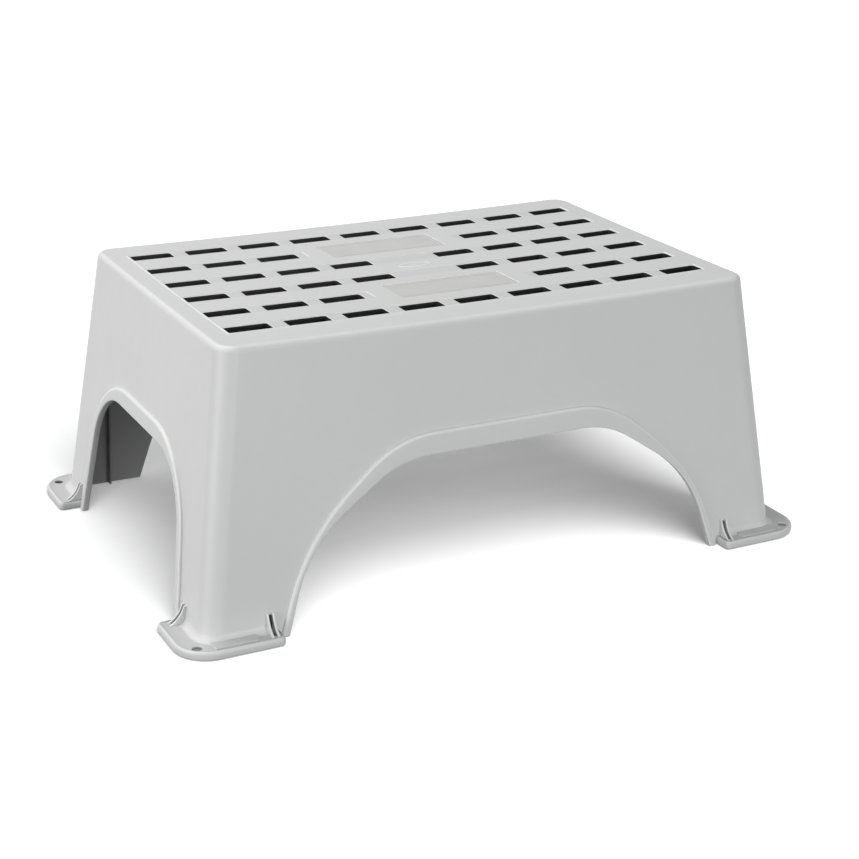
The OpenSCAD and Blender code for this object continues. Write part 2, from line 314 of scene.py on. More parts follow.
def moulded_plastic():
    """Light satin plastic with a spark-eroded grain, slow colour drift, edges polished by wear and lightened
    with a painted highlight, painted shade in hollows and on inner faces, and scuffed treads.
    """
    style = bpy.context.scene.stool_finish
    colour = tuple(style.plastic)
    f = Finish("moulded_plastic")
    place = f.place()
    wear = f.attribute("wear")
    grime = f.attribute("grime")
    drift = f.noise(place, 5.0, 3.0)
    mottle = f.noise(place, 90.0, 4.0, 0.6)
    grain = f.noise(place, 1500.0, 3.0, 0.6)
    flow = f.noise(f.stretched(place, (14.0, 14.0, 3.0)), 6.0, 2.0)
    scuffs = f.ramp(f.noise(f.stretched(place, (1.0, 6.0, 6.0)), 60.0, 5.0, 0.7), 0.62, 0.74)
    base = f.blend(f.ramp(drift, 0.35, 0.65), shade(colour, 0.982), shade(colour, 1.012))
    base = f.blend(f.ramp(mottle, 0.3, 0.7) * 0.3, base, shade(colour, 0.96))
    # Painted highlight: edges marked wear are lightened, standing in for light caught on their rounded edges;
    # the same mark makes them a little smoother as real wear.
    base = f.blend(wear * 0.6, base, shade(colour, 1.35))
    # Painted shade: the grime mark blends the colour towards near black in slots, holes, pockets, on inner
    # faces, ribs and flanges, where shade falls.
    base = f.blend(grime, base, (0.012, 0.011, 0.010, 1.0))
    tread = f.attribute("tread")
    base = f.blend(scuffs * tread * 0.35, base, shade(colour, 0.88))
    rough = style.gloss + (mottle - 0.5) * 0.10 + (flow - 0.5) * 0.05 + scuffs * tread * 0.12 - wear * 0.10
    fine = f.bump(grain, 0.16, 0.00015)
    coarse = f.bump(mottle, 0.05, 0.0006, fine)
    return f.close({"Base Color": base, "Roughness": rough, "Normal": coarse})


def stippled_label():
    """Matt label plate with a fine pressed stipple."""
    style = bpy.context.scene.stool_finish
    colour = tuple(style.label)
    f = Finish("stippled_label")
    place = f.place()
    cells = f.node("ShaderNodeTexVoronoi", {"Vector": place, "Scale": 900.0})
    cloud = f.noise(place, 40.0, 4.0)
    rubbed = f.ramp(f.noise(f.stretched(place, (1.0, 3.0, 1.0)), 26.0, 6.0, 0.7), 0.5, 0.72)
    base = f.blend(f.ramp(cloud, 0.3, 0.7), shade(colour, 0.97), shade(colour, 1.03))
    base = f.blend(rubbed * 0.4, base, shade(colour, 1.07))
    # Painted highlight on the plate's marked edges.
    base = f.blend(f.attribute("wear") * 0.6, base, shade(colour, 1.12))
    normal = f.bump(f.noise(place, 70.0, 2.0), 0.08, 0.0006, f.bump(cells, 0.22, 0.0002))
    return f.close({"Base Color": base, "Roughness": 0.5 + cloud * 0.12, "Normal": normal})


def foot_rubber():
    """Black moulded rubber, dusty where it is rubbed."""
    colour = tuple(bpy.context.scene.stool_finish.rubber)
    f = Finish("foot_rubber")
    place = f.place()
    dust = f.ramp(f.noise(place, 120.0, 5.0, 0.65), 0.48, 0.72)
    grain = f.noise(place, 1200.0, 3.0)
    base = f.blend(dust * 0.5 + f.attribute("wear") * 0.3, shade(colour, 1.0), shade(colour, 3.0))
    return f.close({"Base Color": base, "Roughness": 0.7 + dust * 0.15, "Normal": f.bump(grain, 0.3, 0.0002)})


def pale_floor():
    f = Finish("pale_floor")
    haze = f.noise(f.place(), 1.5, 2.0)
    base = f.blend(haze, (0.90, 0.90, 0.90, 1.0), (0.92, 0.92, 0.92, 1.0))
    glow = {"Emission Color": (1.0, 0.99, 0.98, 1.0), "Emission Strength": 0.17}
    return f.close({"Base Color": base, "Roughness": 0.8, "Specular IOR Level": 0.0, **glow})


# ---- mesh helpers ----


def encloses(loop, spot):
    """True if a flat loop goes round the spot."""
    inside = False
    for (ax, ay), (bx, by) in zip(loop, [*loop[1:], loop[0]]):
        if (ay > spot.y) != (by > spot.y) and spot.x < ax + (bx - ax) * (spot.y - ay) / (by - ay):
            inside = not inside
    return inside


class Skin:
    """Faces gathered in millimetres. Corners at one place are one vertex, so strips and fills join up."""

    # Marks on each vertex: wear with a painted highlight, painted shade, and the treads that take scuffs.
    MARKS = ("wear", "grime", "tread")

    def __init__(self):
        self.ids, self.points, self.marks, self.faces = {}, [], [], []

    def point(self, place, **marks):
        key = tuple(round(c * 500) for c in place)
        if key not in self.ids:
            self.ids[key] = len(self.points)
            self.points.append(tuple(place))
            self.marks.append([0.0] * len(self.MARKS))
        spot = self.ids[key]
        for name, value in marks.items():
            at = self.MARKS.index(name)
            self.marks[spot][at] = max(self.marks[spot][at], value)
        return spot

    def face(self, spots):
        kept = [s for n, s in enumerate(spots) if s != spots[n - 1]]
        if len(set(kept)) == len(kept) and len(kept) > 2:
            self.faces.append(kept)

    def strip(self, first, second, closed=True):
        """Quads between two rows of vertices."""
        count = len(first)
        for n in range(count if closed else count - 1):
            m = (n + 1) % count
            self.face([first[n], first[m], second[m], second[n]])

    def rings(self, rings, closed=True):
        """Strips through rows of places. A row is a list of places, or a pair of that list and its marks."""
        rows = []
        for ring in rings:
            places, marks = ring if isinstance(ring, tuple) else (ring, {})
            rows.append([self.point(p, **marks) for p in places])
        for first, second in zip(rows, rows[1:]):
            self.strip(first, second, closed)
        return rows

    def tube(self, rings):
        """Strips through rings, with a flat face over each end."""
        rows = self.rings(rings)
        self.face(rows[0])
        self.face(rows[-1])

    def fill(self, outline, holes, lift, **marks):
        """Triangles over a flat outline with holes, placed by lift(u, v) or at the height lift.

        The loops are lists of (u, v), or of points whose height is dropped."""
        place = lift if callable(lift) else lambda u, v: (u, v, lift)
        outline, *holes = [[tuple(p[:2]) for p in loop] for loop in (outline, *holes)]
        flat, edges = [], []
        for loop in (outline, *holes):
            start = len(flat)
            flat.extend(Vector(p) for p in loop)
            edges.extend((start + n, start + (n + 1) % len(loop)) for n in range(len(loop)))
        places, _, faces, origin, _, _ = delaunay_2d_cdt(flat, edges, [], 1, 1e-5)
        spots = [self.point(place(*flat[old[0]]), **marks) for old in origin]
        for face in faces:
            middle = sum((places[n] for n in face), Vector((0.0, 0.0))) / len(face)
            if not any(encloses(hole, middle) for hole in holes):
                self.face([spots[n] for n in face])

    def mirrored(self):
        """Itself and the three copies that mirroring in the upright planes through the middle gives."""
        whole = Skin()
        for sx in (1, -1):
            for sy in (1, -1):
                whole.join(self, lambda p, sx=sx, sy=sy: (p[0] * sx, p[1] * sy, p[2]))
        return whole

    def join(self, other, move=lambda p: p):
        pairs = zip(other.points, other.marks)
        spots = [self.point(move(p), **dict(zip(self.MARKS, m))) for p, m in pairs]
        for face in other.faces:
            self.face([spots[n] for n in face])

    def bend(self, change):
        self.points = [change(p) for p in self.points]

    def piece(self, name, finish, sharp=40.0):
        """The finished object, in metres: closed, facing outwards, and shaded so that flat faces look flat."""
        mesh = bpy.data.meshes.new(name)
        mesh.from_pydata([Vector(p) * MM for p in self.points], [], self.faces)
        for n, mark in enumerate(self.MARKS):
            layer = mesh.attributes.new(mark, "FLOAT", "POINT")
            layer.data.foreach_set("value", [m[n] for m in self.marks])
        work = bmesh.new()
        work.from_mesh(mesh)
        bmesh.ops.remove_doubles(work, verts=work.verts, dist=0.004 * MM)
        bmesh.ops.recalc_face_normals(work, faces=work.faces)
        loose = sum(len(edge.link_faces) != 2 for edge in work.edges)
        work.to_mesh(mesh)
        work.free()
        if loose:
            print(f"{name}: {loose} open edges")
        mesh.shade_smooth()
        mesh.set_sharp_from_angle(angle=math.radians(sharp))
        obj = bpy.data.objects.new(name, mesh)
        bpy.context.scene.collection.objects.link(obj)
        mesh.materials.append(finish)
        even = obj.modifiers.new("even", "WEIGHTED_NORMAL")
        even.keep_sharp = True
        settle(obj)
        return obj


def settle(obj):
    """Turns the evaluated object into a plain mesh and drops its modifiers."""
    depsgraph = bpy.context.evaluated_depsgraph_get()
    depsgraph.update()
    done = bpy.data.meshes.new_from_object(
        obj.evaluated_get(depsgraph), preserve_all_data_layers=True, depsgraph=depsgraph
    )
    old = obj.data
    obj.modifiers.clear()
    obj.data = done
    done.name = obj.name
    bpy.data.meshes.remove(old)


def arc(x, y, rx, ry, first, last, steps):
    """Points round (x, y) from one angle to another, in degrees, with both ends."""
    angles = [math.radians(first + (last - first) * n / steps) for n in range(steps + 1)]
    return [(x + rx * math.cos(a), y + ry * math.sin(a)) for a in angles]


def between(start, end, steps):
    """Points that cut a straight line in even lengths, without its ends."""
    return [tuple(a + (b - a) * n / steps for a, b in zip(start, end)) for n in range(1, steps)]


def rounded(x, y, half_x, half_y, r, steps=3, cuts=(1, 1)):
    """A rounded rectangle about (x, y), anticlockwise from its right end, its sides cut in even lengths."""
    places = [(x + sx * (half_x - r), y + sy * (half_y - r)) for sx, sy in QUARTERS]
    corners = [arc(*place, r, r, 90 * n, 90 * n + 90, steps) for n, place in enumerate(places)]
    out = []
    for n, corner in enumerate(corners):
        out += corner + between(corner[-1], corners[(n + 1) % 4][0], cuts[n % 2])
    return out


def oval(x, y, rx, ry, steps=32):
    return arc(x, y, rx, ry, 0, 360, steps)[:-1]


def wall_ring(half_x, half_y, r):
    """Plan of the walls, cut as finely as their corners and straights need."""
    return rounded(0, 0, half_x, half_y, r, ARC_STEPS, (LONG_STEPS, WIDE_STEPS))


def at_height(loop, z):
    return [(p[0], p[1], z) for p in loop]


def rolled_in(half_x, half_y, r, z, roll, steps):
    """Rings up a quarter round from a wall to a deck, each with how far up the round it is."""
    for n in range(steps + 1):
        turn = math.pi / 2 * n / steps
        inward, up = roll * (1 - math.cos(turn)), roll * math.sin(turn)
        yield n / steps, at_height(wall_ring(half_x - inward, half_y - inward, r - inward), z + up)


# ---- the form of the stool ----

class Form:
    """Where the drafted walls and the deck lie."""

    def __init__(self, scene):
        w, d, a, t = scene.stool_walls, scene.stool_deck, scene.stool_arches, scene.stool_feet
        self.w, self.d, self.a, self.t = w, d, a, t
        label_low, label_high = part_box("rear_label")
        self.label_y = (label_low.y + label_high.y) * 500
        self.label_half = ((label_high.x - label_low.x) * 500, (label_high.y - label_low.y) * 500)
        self.wall_x, self.wall_y = BASE_X - FLANGE_OUT[0], BASE_Y - FLANGE_OUT[1]
        self.slope_x, self.slope_y = w.lean_x / DECK_Z, w.lean_y / DECK_Z
        self.margin_z = DECK_Z - d.tread_h
        self.groove_z = DECK_Z - d.groove_d
        self.under_z = DECK_Z - w.deck_t
        self.rim_z = self.margin_z - w.rim_r
        self.field_x = (d.columns - 1) / 2 * d.pitch_x + d.slot_l / 2 + TREAD_EDGE
        self.field_y = (d.rows - 1) / 2 * d.pitch_y + d.slot_w / 2 + TREAD_EDGE

    def half(self, z, inward=0.0):
        return self.wall_x - self.slope_x * z - inward, self.wall_y - self.slope_y * z - inward

    def corner(self, z):
        """Centre of the corner arc at a height, the same for the outer and the inner wall."""
        return self.half(z, self.w.corner_r)

    def arc(self, z, inward=0.0):
        """The corner arc at a height in the quarter of +X and +Y, from the end wall to the back wall."""
        r = self.w.corner_r - inward
        return at_height(arc(*self.corner(z), r, r, 0, 90, ARC_STEPS), z)

    def dip(self, p):
        """The deck and what hangs on it, sunk a little towards the middle."""
        x, y, z = p
        reach = max(0.0, min(1.0, (z - DIP_FROM) / DIP_OVER))
        along = max(0.0, 1 - (x / DIP_HALF_X) ** 2)
        across = max(0.0, 1 - (y / DIP_HALF_Y) ** 2)
        return x, y, z - reach * (self.w.sag_x * along + self.w.sag_y * across)

    def slots(self):
        """Centres of the slots. The label rows leave room for a label, and the middle rows for the centre."""
        d = self.d
        for i in range(d.columns):
            for j in range(d.rows):
                col, row = i - (d.columns - 1) / 2, j - (d.rows - 1) / 2
                label_row = (d.rows - 3) / 2
                if abs(col) > 1 if abs(row) == label_row else abs(col) > 0 or abs(row) > label_row:
                    yield col * d.pitch_x, row * d.pitch_y


def bend_path(corners, radii):
    """Half an arch: a path through corners, each but the first rounded, on to the middle at u = 0."""
    out = [corners[0]]
    for n in range(1, len(corners)):
        here = Vector(corners[n])
        before = Vector(corners[n - 1])
        after = Vector(corners[n + 1]) if n + 1 < len(corners) else Vector((-here.x, here.y))
        u, v = (before - here).normalized(), (after - here).normalized()
        half = u.angle(v) / 2
        r = radii[n]
        mid = here + (u + v).normalized() * (r / math.sin(half))
        start, end = here + u * (r / math.tan(half)), here + v * (r / math.tan(half))
        first = math.atan2(start.y - mid.y, start.x - mid.x)
        last = math.atan2(end.y - mid.y, end.x - mid.x)
        turn = (last - first + math.pi) % (2 * math.pi) - math.pi
        out += between(out[-1], start, RUN_STEPS)
        out += arc(mid.x, mid.y, r, r, math.degrees(first), math.degrees(first + turn), BEND_STEPS)
    middle = (0.0, out[-1][1])
    return out + between(out[-1], middle, RUN_STEPS) + [middle]


class WallSide:
    """One quarter of a wall with its arch: the wall runs along u, and leans with z."""

    def __init__(self, form, along_x, path, radii, turn_w, top_w, band_radii):
        leg_w, top = form.a.band_leg_w, path[-1][1]
        self.form, self.along_x = form, along_x
        mouth = [Vector(p) for p in bend_path(path, radii)]
        (foot_u, foot_z), *bends = path
        wide = [(foot_u + leg_w, foot_z)] + [(u + turn_w, z + top_w * (z / top) ** 2) for u, z in bends]
        band = [Vector(p) for p in bend_path(wide, band_radii)]
        self.rows = []
        for n, m in enumerate(mouth):
            if n in (0, len(mouth) - 1):
                b = band[n]
            else:
                b = self.across(m, mouth[n + 1] - mouth[n - 1], band)
            self.rows.append((m, b, (m - b).normalized()))

    @staticmethod
    def across(spot, along, band):
        """Where the line square to the opening's edge meets the band's outline."""
        far = spot + Vector((along.y, -along.x)).normalized() * 60
        hits = [intersect_line_line_2d(spot, far, a, b) for a, b in zip(band, band[1:])]
        return min((h for h in hits if h is not None), key=lambda h: (h - spot).length)

    def lift(self, u, z, out=0.0):
        f = self.form
        if self.along_x:
            return u, f.wall_y - f.slope_y * z + out, z
        return f.wall_x - f.slope_x * z + out, u, z

    def inner(self, u, z):
        return self.lift(u, z, -self.form.w.wall_t)

    def profile(self, row):
        """The band's section from the wall, over its face, through the wall and onto the inner face."""
        m, b, way = row
        swell = self.form.a.band_t / BAND_EDGE[-1][1]
        t = self.form.w.wall_t
        out = [(b + way * d, h * swell) for d, h in BAND_EDGE]
        out += [(m - way * d, h * swell) for d, h in MOUTH_EDGE]
        out += [(m, 0.8 - t), (m - way * 0.25, 0.25 - t), (m - way * 0.8, -t)]
        return [self.lift(p.x, p.y, h) for p, h in out]

    def inner_edge(self):
        return [tuple(m - way * 0.8) for m, _, way in self.rows]

    def corner_u(self, z):
        x, y = self.form.corner(z)
        return x if self.along_x else y

    def top_row(self, z):
        """Steps along the wall's top from the middle to the corner, as the rings above cut it."""
        steps = LONG_STEPS if self.along_x else WIDE_STEPS
        far = self.corner_u(z)
        return [(far * 2 * k / steps, z) for k in range(steps // 2 + 1)]

    def outline(self, edge, top_z, levels):
        """The wall's flat part: up the arch's edge, along the top, down the corner and back along the floor."""
        return edge + self.top_row(top_z) + [(self.corner_u(z), z) for z in reversed(levels[:-1])]


def web_places(form):
    """Middle of each pair of webs in the quarter of +X and +Y: along the back wall, and along the end wall."""
    t, a = form.t, form.a
    first = a.band_leg_w + t.flange_gap + t.web_in + t.web_t + t.web_gap / 2
    return a.foot_x + first, a.foot_y + first


def pocket_in_wall(form, u):
    """The narrow pocket in the wall between two webs."""
    half = form.t.web_gap / 2 - 0.1
    low, high = form.t.flange_h + 0.2, form.t.flange_h + form.t.web_h * 0.8
    return [(u - half, low), (u + half, low), (u + half, high), (u + half * 0.4, high + 1.4),
            (u - half * 0.4, high + 1.4), (u - half, high)]


def build_shell(form):
    """Deck, rim, walls, bands and inner faces as one closed skin."""
    w, d = form.w, form.d
    skin = Skin()
    quarter = Skin()

    # walls with their arches, one quarter
    a = form.a
    back_path = [(a.foot_x, FOOT_Z), (a.knee_x, a.knee_h), (a.crown_x, a.height)]
    end_path = [(a.foot_y, FOOT_Z), (a.crown_y, a.end_height)]
    back = WallSide(form, True, back_path, [0, 110, 80], a.band_turn_w, a.band_top_w, [0, 170, 90])
    end = WallSide(form, False, end_path, [0, 58], a.band_leg_w, a.end_band_w, [0, 80])
    inner_top = form.under_z - UNDER_R
    levels = [FOOT_Z, 30, 60, 90, 120, 150, 180, 200]
    outer_levels, inner_levels = [*levels, form.rim_z], [*levels, inner_top]
    bottoms = []
    for side, u in zip((back, end), web_places(form)):
        rows = [side.profile(row) for row in side.rows]
        # Painted highlight along the band's edges.
        quarter.rings([(c, {"wear": wear}) for c, wear in zip(zip(*rows), BAND_WEAR_AND_HIGHLIGHT)], closed=False)
        pocket = pocket_in_wall(form, u)
        edge = [tuple(b) for _, b, _ in side.rows]
        quarter.fill(side.outline(edge, form.rim_z, outer_levels), [pocket], side.lift)
        # The inner faces are darkened with painted shade.
        quarter.fill(side.outline(side.inner_edge(), inner_top, inner_levels), [], side.inner, grime=INSIDE_SHADE)
        # The pocket's walls and floor are painted black as painted shade.
        bottom = [side.lift(*p, -POCKET_DEPTH) for p in pocket]
        quarter.rings([[side.lift(*p) for p in pocket], (bottom, {"grime": 1})])
        quarter.fill(pocket, [], lambda u, z, side=side: side.lift(u, z, -POCKET_DEPTH), grime=1)
        bottoms.append(rows[0])
    quarter.rings([form.arc(z) for z in outer_levels], closed=False)
    # The inner corners take the same painted shade.
    quarter.rings([(form.arc(z, w.wall_t), {"grime": INSIDE_SHADE}) for z in inner_levels], closed=False)
    foot = bottoms[1][::-1] + form.arc(FOOT_Z) + bottoms[0] + form.arc(FOOT_Z, w.wall_t)[::-1]
    quarter.fill(foot, [], FOOT_Z)
    skin.join(quarter.mirrored())

    # rim round the deck, margin and the step up to the treads
    rim = []
    hx, hy = form.half(form.rim_z)
    # Painted highlight: the middle of the rim's round is lightened.
    for part, ring in rolled_in(hx, hy, w.corner_r, form.rim_z, w.rim_r, RIM_STEPS):
        rim.append((ring, {"wear": 0.2 * math.sin(math.pi * part) ** 2}))
    flat_x, flat_y = hx - w.rim_r, hy - w.rim_r
    fx, fy, m = form.field_x, form.field_y, form.margin_z
    for part in (0.35, 0.7):
        mx, my = flat_x + (fx - flat_x) * part, flat_y + (fy - flat_y) * part
        rim.append(at_height(wall_ring(mx, my, (w.corner_r - w.rim_r) * (1 - part) + 2 * part), m))
    field = []
    for out, up, wear in LIP_EDGE:
        loop = wall_ring(fx + out, fy + out, 1.4 + out)
        raised = at_height(loop, m + up * d.tread_h / LIP_EDGE[-1][1])
        field.append((raised, {"wear": wear, "tread": 1.0 if up > 0.4 else 0.0}))
    skin.rings(rim + field)
    tread_edge = wall_ring(fx - 0.4, fy - 0.4, 1.0)

    # treads, grooves, recesses
    top, floor, recess = DECK_Z, form.groove_z, DECK_Z - d.recess_d
    holes = []

    def sunk(loop_at, depth):
        """An edge down from the treads to a groove's or recess's floor, and the loop round that floor."""
        rows = []
        for out, down, wear in SUNK_EDGE:
            tread = 1.0 if down < 0.2 else 0.0
            rows.append((at_height(loop_at(out), top - down * depth), {"wear": wear, "tread": tread}))
        skin.rings(rows)
        return rows[0][0], rows[-1][0]

    def slot_loops(x, y):
        """A slot from the groove's floor down through the deck, its upper edge rounded and lightened with a
        painted highlight, its walls painted black as painted shade.
        """
        loop = lambda out: rounded(x, y, d.slot_l / 2 + out, d.slot_w / 2 + out, d.slot_r + out)
        rows = []
        for out, down, wear, grime in SLOT_EDGE:
            rows.append((at_height(loop(out), floor - down), {"wear": wear, "grime": grime}))
        rows.append((at_height(loop(0), form.under_z), {"grime": 1}))
        skin.rings(rows)
        return rows[0][0], rows[-1][0]

    through, groove_spans = [], []
    reach = form.field_x - GROOVE_END
    near = 2 * d.pitch_x - d.slot_l / 2 - GROOVE_LEAD
    label_row = (d.rows - 3) / 2
    for j in range(d.rows):
        row = j - (d.rows - 1) / 2
        if abs(row) == label_row:
            groove_spans += [(near, reach, row), (-reach, -near, row)]
        else:
            groove_spans.append((-reach, reach, row))
    centres = list(form.slots())
    for low, high, row in groove_spans:
        y = row * d.pitch_y
        middle, half = (low + high) / 2, (high - low) / 2
        wide, cuts = d.groove_w / 2, (GROOVE_CUTS, 1)
        groove = lambda out: rounded(middle, y, half + out, wide + out, GROOVE_R + out, 3, cuts)
        outer, inner = sunk(groove, d.groove_d)
        holes.append(outer)
        openings = []
        for sx, sy in centres:
            if sy == y and low < sx < high:
                upper, lower = slot_loops(sx, sy)
                openings.append(upper)
                through.append(lower)
        # Painted shade: the groove's floor is darkened a little between the slots.
        skin.fill(inner, openings, floor, grime=0.06)
    for side in (-1, 1):
        lx, ly = (half + LABEL_GAP for half in form.label_half)
        bed = lambda out: rounded(0, side * form.label_y, lx + out, ly + out, 1.6 + out, 4)
        outer, inner = sunk(bed, d.recess_d)
        holes.append(outer)
        skin.fill(inner, [], recess)

    # small plain oval raised at the middle
    loops = []
    for inset, up in ((0, 0.0), (0.2, 0.25), (0.6, 0.35), (1.6, 0.35), (2.0, 0.25), (2.2, 0.0)):
        loop = at_height(oval(0, 0, 15 - inset, 6.5 - inset), top + up)
        # Painted highlight on the oval's raised top.
        loops.append((loop, {"tread": 1.0, "wear": 1.0 if up > 0.3 else 0.0}))
    skin.rings(loops)
    holes.append(loops[0][0])
    skin.fill(loops[-1][0], [], top, tread=1.0)
    skin.fill(tread_edge, holes, top, tread=1.0)

    # underside, darkened with painted shade
    under = []
    ix, iy = form.half(inner_top, w.wall_t)
    for _, ring in rolled_in(ix, iy, w.corner_r - w.wall_t, inner_top, UNDER_R, UNDER_STEPS):
        under.append((ring, {"grime": INSIDE_SHADE}))
    skin.rings(under)
    skin.fill(under[-1][0], through, form.under_z, grime=INSIDE_SHADE)
    skin.bend(form.dip)
    return skin


def build_flanges(form):
    """The four foot flanges, each with a rounded bead, a hole, a raised seat and slits between its webs."""
    t = form.t
    quarter = Skin()
    start_x = form.a.foot_x + form.a.band_leg_w + t.flange_gap
    start_y = form.a.foot_y + form.a.band_leg_w + t.flange_gap
    hide = form.w.wall_t * 0.55
    wall_in_x, wall_in_y = form.half(FOOT_Z + 3, hide)
    cx, cy = form.corner(FOOT_Z + 3)

    def outline(inset):
        end_r = max(1.0, 4.0 - inset)
        end = min(inset, 1.2)
        big = t.flange_r - inset
        far_x, far_y = BASE_X - inset, BASE_Y - inset
        first = arc(start_x + end + end_r, far_y - end_r, end_r, end_r, 180, 90, 8)
        turn = arc(BASE_X - t.flange_r, BASE_Y - t.flange_r, big, big, 90, 0, 20)
        last = arc(far_x - end_r, start_y + end + end_r, end_r, end_r, 0, -90, 8)
        r = form.w.corner_r - hide
        return [
            (start_x + end, wall_in_y), *first, *between(first[-1], turn[0], 4), *turn,
            *between(turn[-1], last[0], 4), *last, (wall_in_x, start_y + end),
            *arc(cx, cy, r, r, 0, 90, HIDDEN_STEPS - 1),
        ]

    h = t.flange_h
    recess = h - WEB_FOOT
    under = h - t.flange_t
    section = (
        (3.0, under, 0), (3.0, 1.3, 0), (2.6, FOOT_Z, 0), (1.5, FOOT_Z, 0), (0.7, FOOT_Z + 0.25, 0),
        (0.2, FOOT_Z + 0.9, 0.3), (0.0, FOOT_Z + 1.9, 0), (0.0, FOOT_Z + 3.8, 0), (0.15, FOOT_Z + 5.0, 0.2),
        (0.6, h - 0.9, 0.6), (1.25, h - 0.25, 1.0), (1.9, h, 0.8), (2.5, h - 0.18, 0.3), (3.0, h - 0.55, 0),
        (3.5, recess, 0),
    )
    rows = []
    # The bead is lightened with a painted highlight, and the flange darkened a little with painted shade.
    for n, (inset, z, wear) in enumerate(section):
        inside = under + (recess - under) * n / (len(section) - 1)
        loop = outline(inset)
        row = at_height(loop[:-HIDDEN_STEPS], z) + at_height(loop[-HIDDEN_STEPS:], inside)
        rows.append((row, {"wear": wear * 0.4, "grime": 0.06}))
    quarter.rings(rows)
    top_line, under_line = outline(3.5), outline(3.0)

    hole_r = t.hole_d / 2
    hole = lambda grow: oval(BASE_X - t.hole_in, BASE_Y - t.hole_in, hole_r + grow, hole_r + grow, 28)
    # Painted highlight round the hole's edge, and painted shade down its wall.
    quarter.rings([
        at_height(hole(0.35), recess), (at_height(hole(0.1), recess - 0.12), {"wear": 1}),
        at_height(hole(0), recess - 0.4), (at_height(hole(0), under), {"grime": 0.6}),
    ])
    web_x, web_y = web_places(form)
    half = t.web_gap / 2 - 0.1
    wx, wy = form.half(recess)
    slits = [
        [(x0, y0), (x1, y0), (x1, y1), (x0, y1)]
        for x0, y0, x1, y1 in (
            (web_x - half, wy + 0.5, web_x + half, wy + 9.0), (wx + 0.5, web_y - half, wx + 9.5, web_y + half))
    ]
    # Painted shade darkens the slits' walls.
    for loop in slits:
        quarter.rings([at_height(loop, recess), (at_height(loop, under), {"grime": 0.8})])
    seat_x = BASE_X - t.pad_in
    seat_low, seat_high = wy + 0.4, BASE_Y - SEAT_IN

    def seat(inset, slant):
        """The seat's outline, a little wider along the wall than along the flange's edge."""
        near, far = SEAT_NEAR - inset - slant, SEAT_FAR - inset - slant
        y0, y1 = seat_low + inset * 0.2, seat_high - inset * 0.2
        return [(seat_x - near, y0), (seat_x + near, y0), (seat_x + far, y1), (seat_x - far, y1)]

    # Painted shade darkens the seat and the flange's face.
    seats = [at_height(seat(0, 0), recess), (at_height(seat(0.25, 0.1), recess + 0.9), {"grime": 0.16}),
             (at_height(seat(0.7, 0.2), recess + SEAT_UP), {"grime": 0.16})]
    quarter.rings(seats)
    quarter.fill(seats[-1][0], [], recess + SEAT_UP)
    quarter.fill(top_line, [hole(0.35), *slits, seat(0, 0)], recess, grime=0.16)
    quarter.fill(under_line, [hole(0), *slits], under)
    return quarter.mirrored()


def build_plate(form, side):
    """A label plate: rounded edge, and a fine line pressed in round its border."""
    skin = Skin()
    half_x, half_y = form.label_half
    low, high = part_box("rear_label")
    z0, z1 = low.z * 1000, high.z * 1000
    y = side * form.label_y
    loop = lambda inset: rounded(0, y, half_x - inset, half_y - inset, max(0.6, 2 - inset * 0.4), 4)
    # Painted highlight on the plate's rounded edge and on the edge of its pressed line.
    section = ((0.0, z0, 0), (0.0, z1 - 0.3, 0), (0.1, z1 - 0.1, 0.8), (0.35, z1, 0.6), (0.8, z1, 0),
               (3.0, z1, 0), (3.15, z1 - 0.22, 0), (3.55, z1 - 0.22, 0), (3.7, z1, 0.5), (4.1, z1, 0))
    rows = [(at_height(loop(inset), z), {"wear": wear}) for inset, z, wear in section]
    skin.rings(rows)
    skin.fill(loop(0.0), [], z0)
    skin.fill(loop(4.1), [], z1)
    skin.bend(form.dip)
    return skin


def build_pad(node):
    """A rubber foot: rounded edges, cross grooves in its sole, and a stud up into the flange."""
    low, high = (place * 1000 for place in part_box(node))
    (cx, cy, _), (half_x, half_y, _) = (low + high) / 2, (high - low) / 2
    top = PAD_TOP
    skin = Skin()
    loop = lambda inset: rounded(cx, cy, half_x - inset, half_y - inset, 2.5 - inset, 4)
    section = ((0.9, 0.0, 0), (0.3, 0.2, 1), (0.0, 0.8, 0.3), (0.0, top - 0.3, 0), (0.2, top, 0))
    skin.rings([(at_height(loop(i), z), {"wear": v}) for i, z, v in section])
    grooves = []
    for n in range(-3, 4):
        groove = rounded(cx + n * 4.4, cy, 0.9, half_y - 2.2, 0.85)
        grooves.append(groove)
        inner = rounded(cx + n * 4.4, cy, 0.6, half_y - 2.5, 0.55)
        skin.rings([at_height(groove, 0.0), at_height(inner, 0.6)])
        skin.fill(inner, [], 0.6)
    skin.fill(loop(0.9), grooves, 0.0)
    stud = oval(cx, cy, 2.5, 2.5, 24)
    tip = oval(cx, cy, 2.1, 2.1, 24)
    skin.rings([at_height(stud, top), at_height(stud, high.z - 0.4), at_height(tip, high.z)])
    skin.fill(tip, [], high.z)
    skin.fill(loop(0.2), [stud], top)
    return skin


# ---- geometry node helpers ----


